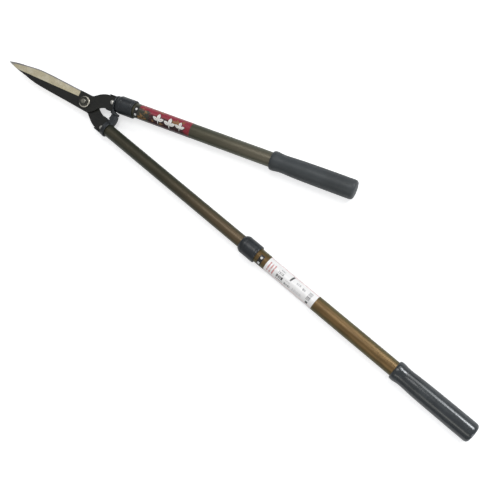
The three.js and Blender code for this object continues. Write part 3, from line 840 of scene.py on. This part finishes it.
def red_art(x, y, length, width):
    cloud = (value_noise(x * 0.12, y * 0.2, 3) * 0.6
             + value_noise(x * 0.4, y * 0.5, 5) * 0.4)
    mid = width * 0.526
    off = y - mid
    crimson, rose, deep = srgb(138, 24, 42), srgb(150, 40, 60), srgb(36, 12, 16)
    gold, olive = srgb(138, 102, 58), srgb(50, 50, 36)
    white, ink = srgb(240, 238, 232), srgb(18, 12, 12)
    rgb = fill(x, crimson)
    rgb = lay(rgb, 0.8 * np.exp(-((off + 6.5) / 3.2) ** 2) * (0.7 + 0.6 * cloud), rose)
    # dark cloud past the middle, clearing toward the grip
    rgb = lay(rgb, 0.94 * smooth_step(off + (cloud - 0.5) * 7 - np.maximum(0, x - 56) * 0.42,
                                      -4.6, 0.6), deep)
    # olive clearing at the collar end
    rgb = lay(rgb, smooth_step(22 + 8 * (cloud - 0.5) - x, 0, 5)
              * smooth_step(off + (cloud - 0.5) * 4, -6.2, -3.4), olive)
    drift = (value_noise(x * 0.16, y * 0.22, 11) * 0.55
             + value_noise(x * 0.55, y * 0.7, 12) * 0.45)
    rgb = lay(rgb, 0.75 * smooth_step(drift, 0.56, 0.70) * smooth_step(26 - x, 0, 8)
              * smooth_step(off, -7, -4), gold)
    glow = 0.34 * np.exp(-((x - 66) / 9) ** 2 - ((off + 1.5) / 5) ** 2)
    rgb = lay(rgb, 0.8 * smooth_step(drift + glow - 0.1, 0.55, 0.68), gold)
    rgb = lay(rgb, 0.35 * smooth_step(drift, 0.66, 0.80), gold)
    # leaf sprigs over a larger, shifted dark copy: growth, colour, strength, shift
    for grow, colour, strength, shift_x, shift_y in ((2.2, ink, 0.85, 0.5, 0.6),
                                                     (0.0, white, 1.0, 0.0, 0.0)):
        for spot_x, spot_y, size in SPRIG_SPOTS:
            for leaf_x, leaf_y, long, wide, turn in SPRIG:
                shape = leaf(x, y, spot_x + leaf_x * size + shift_x,
                             mid + spot_y + leaf_y * size + shift_y,
                             long * size + grow, wide * size + grow * 0.8, turn)
                rgb = lay(rgb, strength * shape, colour)
    for spot_x, spot_y, size in SPRIG_SPOTS:
        for leaf_x, leaf_y, long, _, turn in SPRIG[:3]:
            midrib = leaf(x, y, spot_x + leaf_x * size, mid + spot_y + leaf_y * size,
                          long * size * 0.7, 0.55, turn)
            rgb = lay(rgb, 0.8 * midrib, crimson)
    # gold line along both long edges
    lines = near_zero(y - 2.0, 0.5, 0.25) + near_zero(y - (width - 2.0), 0.5, 0.25)
    return lay(rgb, 0.5 * lines, gold)


def white_art(x, y, length, width):
    paper, grey, dark = srgb(252, 250, 248), srgb(128, 128, 130), srgb(30, 30, 30)
    red, pink = srgb(190, 58, 56), srgb(214, 130, 128)
    rgb = fill(x, paper) * (0.97 + 0.03 * value_noise(x * 0.2, y * 0.2, 8))[:, None]
    off = y - width * 0.491 + 1.6

    def box(left, right, low, high, soft=0.16):
        return (smooth_step(x, left - soft, left + soft)
                * smooth_step(-x, -right - soft, -right + soft)
                * smooth_step(off, low - soft, low + soft)
                * smooth_step(-off, -high - soft, -high + soft))
    # pink border lines
    rgb = lay(rgb, 0.9 * near_zero(off + 9.8, 0.52, 0.3), pink)
    rgb = lay(rgb, 0.8 * near_zero(off - 12.5, 0.32, 0.14), pink)
    # red stripes, rubbed here and there
    worn = 0.35 + 0.65 * smooth_step(value_noise(x * 0.4, y * 0.4, 31), 0.2, 0.5)
    for left in (4.2, 8.6, 13.0):
        rgb = lay(rgb, 0.72 * worn * box(left, left + 2.1, -3.4, 10.2), red)
    # blocks of uneven width that stand for small print
    draw = np.random.RandomState(4).rand
    # low edge, height, start, end, colour, strength
    rows = ((3.8, 4.2, 20.5, 32.5, dark, 0.95), (-1.4, 3.4, 21, 31, dark, 0.75),
            (9.2, 1.9, 21, 33, dark, 0.8), (-5.0, 1.7, 23, 30, grey, 0.8),
            (7.0, 2.8, 36, 46, dark, 0.7), (3.2, 1.4, 36, 44, grey, 0.5),
            (-4.6, 3.0, 51, 58, grey, 0.6), (-3.6, 3.4, 62, 68, grey, 0.8),
            (5.6, 4.4, 50, 66, grey, 0.35))
    for low, height, left, end, colour, strength in rows:
        while left < end:
            block = 1.0 + 1.9 * draw()
            amount = strength * (0.7 + 0.3 * draw())
            shape = box(left, min(left + block, end), low + 0.4 * draw(), low + height, 0.14)
            rgb = lay(rgb, amount * shape, colour)
            left += block + 0.5 + 0.5 * draw()
    # slanted dash
    rgb = lay(rgb, 0.95 * near_zero((x - 42.4) + 0.22 * (off + 3.9), 1.5, 1.1)
              * near_zero(off + 3.9, 4.8, 4.2), dark)
    # a stack of bars near the far end
    low = -5.5
    while low < 6.4:
        bar = 0.6 + 1.0 * draw()
        rgb = lay(rgb, 0.8 * box(73.0, 79.0, low, low + bar, 0.12), dark if low > 0 else grey)
        low += bar + 0.45 + 0.3 * draw()
    return lay(rgb, 0.95 * box(74.8, 78.6, 8.0, 11.4), dark)


def lock_art(x, y, length, width):
    """two dark fields with a gap between: a disc on one, a square on the other"""
    rgb = fill(x, srgb(16, 16, 16))
    rgb = lay(rgb, near_zero(y - width / 2, 0.5, 0.3), srgb(46, 43, 34))
    x = x - length / 2
    disc = np.hypot(x, y - width * 0.25)
    square = np.maximum(np.abs(x), np.abs(y - width * 0.75))
    for distance in (disc, square):
        rgb = lay(rgb, near_zero(distance, 1.9, 1.6), srgb(226, 226, 222))
    return rgb


# ---------------------------------------------------------------- handle pieces
def film(handle, part, start, length, angles, art, material, steps, corner=2.5,
         lift=0.06, thick=0.13):
    """thin film wrapped on the outer tube between two angles (degrees), with rounded
    corners; steps are its divisions along and round the tube"""
    along, around = steps
    radius = OUTER_R + lift
    first, sweep = math.radians(angles[0]), math.radians(angles[1] - angles[0])
    width = sweep * radius
    verts, flat, faces = [], [], []
    for height in (thick, 0.0):
        for j in range(around + 1):
            y = j / around * width
            rim = min(y, width - y)
            inset = 0.0
            if rim < corner:
                inset = corner - math.sqrt(max(0.0, corner ** 2 - (corner - rim) ** 2))
            angle = first + sweep * j / around
            for i in range(along + 1):
                x = inset + (length - 2 * inset) * i / along
                verts.append((start + x, (radius + height) * math.cos(angle),
                              (radius + height) * math.sin(angle)))
                flat.append((x, y))
    row = along + 1
    layer = row * (around + 1)
    for j in range(around):
        for i in range(along):
            near = j * row + i
            quad = (near, near + 1, near + row + 1, near + row)
            faces.append(quad)
            faces.append(tuple(layer + k for k in quad[::-1]))
    rim = list(range(along)) + [j * row + along for j in range(around)]
    rim += [around * row + i for i in range(along, 0, -1)]
    rim += [j * row for j in range(around, 0, -1)]
    for this, following in zip(rim, rim[1:] + rim[:1]):
        faces.append((following, this, layer + this, layer + following))
    node = f"{handle.name}_{part}"
    obj = new_object(node + "_detail", verts, faces)
    obj.data.transform(handle.matrix)
    outward(obj)
    flat = np.array(flat)
    rgba = np.ones((len(flat), 4), np.float32)
    rgba[:, :3] = art(flat[:, 0], flat[:, 1], length, width)
    colours = obj.data.attributes.new("art", "FLOAT_COLOR", "POINT")
    colours.data.foreach_set("color", rgba.ravel())
    finish(obj, handle.name + "_outer", node, material, 40)


def tube(handle, part, span, bore, radius, bore_fillet, steps, body, material):
    start, end = span
    section = [(start, bore, bore_fillet), (start, radius, 0.3), (end, radius, 0.3),
               (end, bore, bore_fillet)]
    node = f"{handle.name}_{part}"
    obj = lathe(node + "_detail", fillet(section, 4), handle.matrix, True, steps)
    finish(obj, body, node, material)


def from_seam(angle, seam):
    """angle to the nearer of two opposite seams"""
    past = (angle - seam) % math.pi
    return min(past, math.pi - past)


def lock_collar(handle):
    start, end = handle.collar, handle.collar + COLLAR_LEN
    # (station, radius, fillet): outside with two grooves, then back along the bore
    section = [
        (start, INNER_R + 0.2, 0.3), (start, 10.6, 0.4), (start + 1.4, 11.7, 0.6),
        (start + 3.4, 12.9, 1.2), (start + 5.4, COLLAR_R, 2.0),
        (start + 8.0, COLLAR_R, 0.15), (start + 8.25, COLLAR_R - 0.22, 0.1),
        (start + 8.75, COLLAR_R - 0.22, 0.1), (start + 9.0, COLLAR_R, 0.15),
        (end - 4.2, COLLAR_R, 0.15), (end - 3.95, COLLAR_R - 0.2, 0.1),
        (end - 3.5, COLLAR_R - 0.2, 0.1), (end - 3.25, COLLAR_R, 0.15),
        (end, COLLAR_R, 0.9), (end, OUTER_R + 0.15, 0.3), (end - 3.0, OUTER_R + 0.15, 0.2),
        (end - 3.0, 12.05, 0.2), (start + 9.8, 12.05, 0.3), (start + 2.2, 10.75, 0.3),
        (start + 2.2, INNER_R + 0.2, 0.2)]

    def seams(station, angle):
        if not start + 5.6 < station < end - 0.9:
            return 0.0
        return 0.06 * math.exp(-(from_seam(angle, 1.2) / 0.03) ** 2)
    node = handle.name + "_lock_collar"
    obj = lathe(node + "_detail", fillet(section, 5), handle.matrix, True, 144, seams)
    finish(obj, handle.name + "_collar", node,
           moulded(handle.name + " collar plastic", handle, rough=0.33))


def grip(handle, worn):
    start, end = handle.grip, handle.grip + GRIP_LEN
    # profiles as (distance from the grip's start or end, radius)
    bore = [(end - 5.0, 0), (end - 5.0, OUTER_R + 0.06), (start + 0.4, OUTER_R + 0.06),
            (start + 0.1, OUTER_R + 0.2), (start, OUTER_R + 0.6)]
    side = [(0, 12.7), (0.7, 13.4), (2.2, 13.93), (4.6, 14.13), (7.6, 13.98), (11.0, 13.45),
            (14.5, 13.1), (18.5, 13.0), (26, 13.25), (36, 13.7), (50, 14.05), (70, 14.25),
            (95, 14.35), (GRIP_LEN - 12, 14.35)]
    rounding = [(5.6, 14.33), (3.4, 14.0), (1.6, 13.0), (0.5, 11.2), (0.02, 8.4)]
    face = [(0, 7.6), (0, 6.6), (0.12, 6.35), (0.35, 6.2), (0.35, 5.7), (0.12, 5.55),
            (0, 5.3), (0, 2.0), (0.1, 1.6), (0.3, 1.2), (0.35, 0)]
    profile = bore + spline([(start + x, radius) for x, radius in side], 5)
    profile += spline([(end - x, radius) for x, radius in rounding])
    profile += [(end - x, radius) for x, radius in face]

    def uneven(station, angle):
        """two faint mould seams and a slow unevenness"""
        if station < start + 0.3 or station > end - 2.0:
            return 0.0
        return (0.07 * math.exp(-(from_seam(angle, 0.35) / 0.035) ** 2)
                + 0.035 * math.sin(angle * 2 + station * 0.045)
                + 0.02 * math.sin(3 * angle - station * 0.11))
    node = handle.name + "_grip"
    obj = lathe(node + "_detail", profile, handle.matrix, steps=144, wobble=uneven)
    finish(obj, handle.name + "_outer", node,
           grip_material(handle.name + " grip vinyl", handle, worn), 50)


def build_handle(handle, inner_paint, outer_paint, art, worn):
    name = handle.name
    tube(handle, "inner_tube", handle.tube, INNER_BORE, INNER_R, 0.15, 96,
         name + "_side", inner_paint)
    outer_span = (handle.collar + 12.0, handle.grip + GRIP_LEN - 5.4)
    tube(handle, "outer_tube", outer_span, OUTER_BORE, OUTER_R, 0.2, 112,
         name + "_outer", outer_paint)
    lock_collar(handle)
    grip(handle, worn)
    film(handle, "label", handle.label, LABEL_LEN, (-52, 232), art,
         printed(name + " label film", handle), steps=(240, 150))
    film(handle, "lock_decal", handle.collar + COLLAR_LEN + handle.decal_gap, DECAL_LEN,
         (64, 154), lock_art,
         printed(name + " lock film", handle, rough=0.35, coat=0.2),
         steps=(44, 88), corner=0.6)
    # the hidden plastic parts keep their own solids
    for part in ("_guide_bush", "_lock_collet"):
        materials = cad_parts[name + part].data.materials
        materials.clear()
        materials.append(moulded(name + part + " plastic", handle,
                                 base=(0.026, 0.028, 0.030), rough=0.45, grain=2.0))


OLIVE = (0.052, 0.046, 0.026)
short_inner = tube_paint("short inner tube paint", SHORT,
                         base=scaled(OLIVE, 0.8), light=scaled(OLIVE, 1.3))
# the last setting on the long tubes is the strength of the painted shade on their edge-on
# sides
long_inner = tube_paint("long inner tube paint", LONG,
                        base=(0.048, 0.042, 0.024), light=(0.088, 0.074, 0.042),
                        warm=(0.135, 0.090, 0.044), painted_side_shade=0.8)
short_outer = tube_paint("short outer tube paint", SHORT,
                         base=(0.074, 0.068, 0.042), light=(0.128, 0.117, 0.074),
                         warm=(0.160, 0.140, 0.098))
long_outer = tube_paint("long outer tube paint", LONG,
                        base=(0.140, 0.084, 0.028), light=(0.252, 0.150, 0.050),
                        metal=0.55, painted_side_shade=1.0)
build_handle(SHORT, short_inner, short_outer, red_art, worn=1.0)
build_handle(LONG, long_inner, long_outer, white_art, worn=0.0)


# ---------------------------------------------------------------- floor, light, camera (m)
def floor_material():
    mat = Material("pale paper floor")
    mat.set("Base Color", mat.mix(mat.patch(mat.space(), low=0.3, high=0.7, scale=0.02),
                                  (0.78, 0.78, 0.78), (0.81, 0.81, 0.805)))
    mat.set("Roughness", 0.85)
    mat.set("Specular IOR Level", 0.1)
    mat.set("Emission Color", (1.0, 1.0, 1.0))
    # it glows more to the camera than it lights the pieces
    seen = mat.node("LightPath").outputs["Is Camera Ray"]
    mat.set("Emission Strength", mat.math("ADD", mat.mul(seen, 0.47), 0.10))
    mat.bump(mat.noise(mat.space(), scale=1.5, detail=3), strength=0.05, depth=0.05)
    return mat.data


bpy.ops.mesh.primitive_plane_add(size=14, location=(0.3, 0, -0.0058))
floor = bpy.context.object
floor.name = "floor"
floor.data.materials.append(floor_material())

scene = bpy.context.scene
scene.view_settings.view_transform = "Standard"


def studio_world():
    """grey backdrop, lighter upward"""
    world = bpy.data.worlds.new("studio")
    scene.world = world
    world.use_nodes = True
    nodes, link = world.node_tree.nodes, world.node_tree.links.new
    background = nodes["Background"]
    coords = nodes.new("ShaderNodeTexCoord")
    split = nodes.new("ShaderNodeSeparateXYZ")
    link(coords.outputs["Generated"], split.inputs[0])
    ramp = nodes.new("ShaderNodeValToRGB")
    low, high = ramp.color_ramp.elements
    low.position, low.color = 0.0, (0.45, 0.46, 0.48, 1)
    high.position, high.color = 0.9, (0.80, 0.81, 0.83, 1)
    link(split.outputs[2], ramp.inputs[0])
    link(ramp.outputs[0], background.inputs[0])
    # the backdrop is paler to the camera than the light it gives
    ray = nodes.new("ShaderNodeLightPath")
    strength = nodes.new("ShaderNodeMath")
    strength.operation = "MULTIPLY_ADD"
    link(ray.outputs["Is Camera Ray"], strength.inputs[0])
    extra_seen, light_given = 1.3, 0.55
    strength.inputs[1].default_value = extra_seen
    strength.inputs[2].default_value = light_given
    link(strength.outputs[0], background.inputs[1])


def area(name, place, target, size, power, colour=(1, 1, 1)):
    light = bpy.data.lights.new(name, "AREA")
    light.shape, light.energy, light.color = "RECTANGLE", power, colour
    light.size, light.size_y = size
    obj = bpy.data.objects.new(name, light)
    scene.collection.objects.link(obj)
    aim = (Vector(target) - Vector(place)).to_track_quat("-Z", "Y")
    obj.matrix_world = Matrix.Translation(place) @ aim.to_matrix().to_4x4()


studio_world()
area("strip", place=(1.47, 1.65, 1.35), target=(0.80, -0.1, 0.0), size=(0.42, 0.50),
     power=17, colour=(0.92, 0.96, 1.0))
area("ends", place=(2.4, -0.7, 0.55), target=(0.6, 0.0, 0.0), size=(0.8, 0.5),
     power=9, colour=(0.86, 0.92, 1.0))
area("top", place=(0.16, 0.85, 2.5), target=(0.45, 0.0, 0.0), size=(1.0, 0.9), power=13)
area("back", place=(1.2, 2.4, 1.6), target=(0.4, 0.0, 0.0), size=(1.4, 1.2), power=16)
area("front", place=(0.75, -1.6, 1.7), target=(0.5, 0.0, 0.0), size=(1.2, 0.5),
     power=4, colour=(1.0, 0.98, 0.90))
area("ground bevel", place=(-1.25, 0.95, 1.9), target=(0.0, 0.0, 0.0), size=(0.7, 0.7),
     power=1.9)

# the camera's place, and its own axes in the world
CAMERA_PLACE = Vector((0.59698, -0.05676, 1.01711))
CAMERA_AXES = Matrix(((0.843901, 0.487370, -0.224281),      # right
                      (-0.475443, 0.873062, 0.108246),      # up
                      (0.248567, 0.015284, 0.968494)))      # back
camera = bpy.data.cameras.new("camera")
camera.sensor_width, camera.lens = 36.0, 53.20872
camera_obj = bpy.data.objects.new("camera", camera)
scene.collection.objects.link(camera_obj)
camera_obj.matrix_world = (Matrix.Translation(CAMERA_PLACE)
                           @ CAMERA_AXES.transposed().to_4x4())
scene.camera = camera_obj
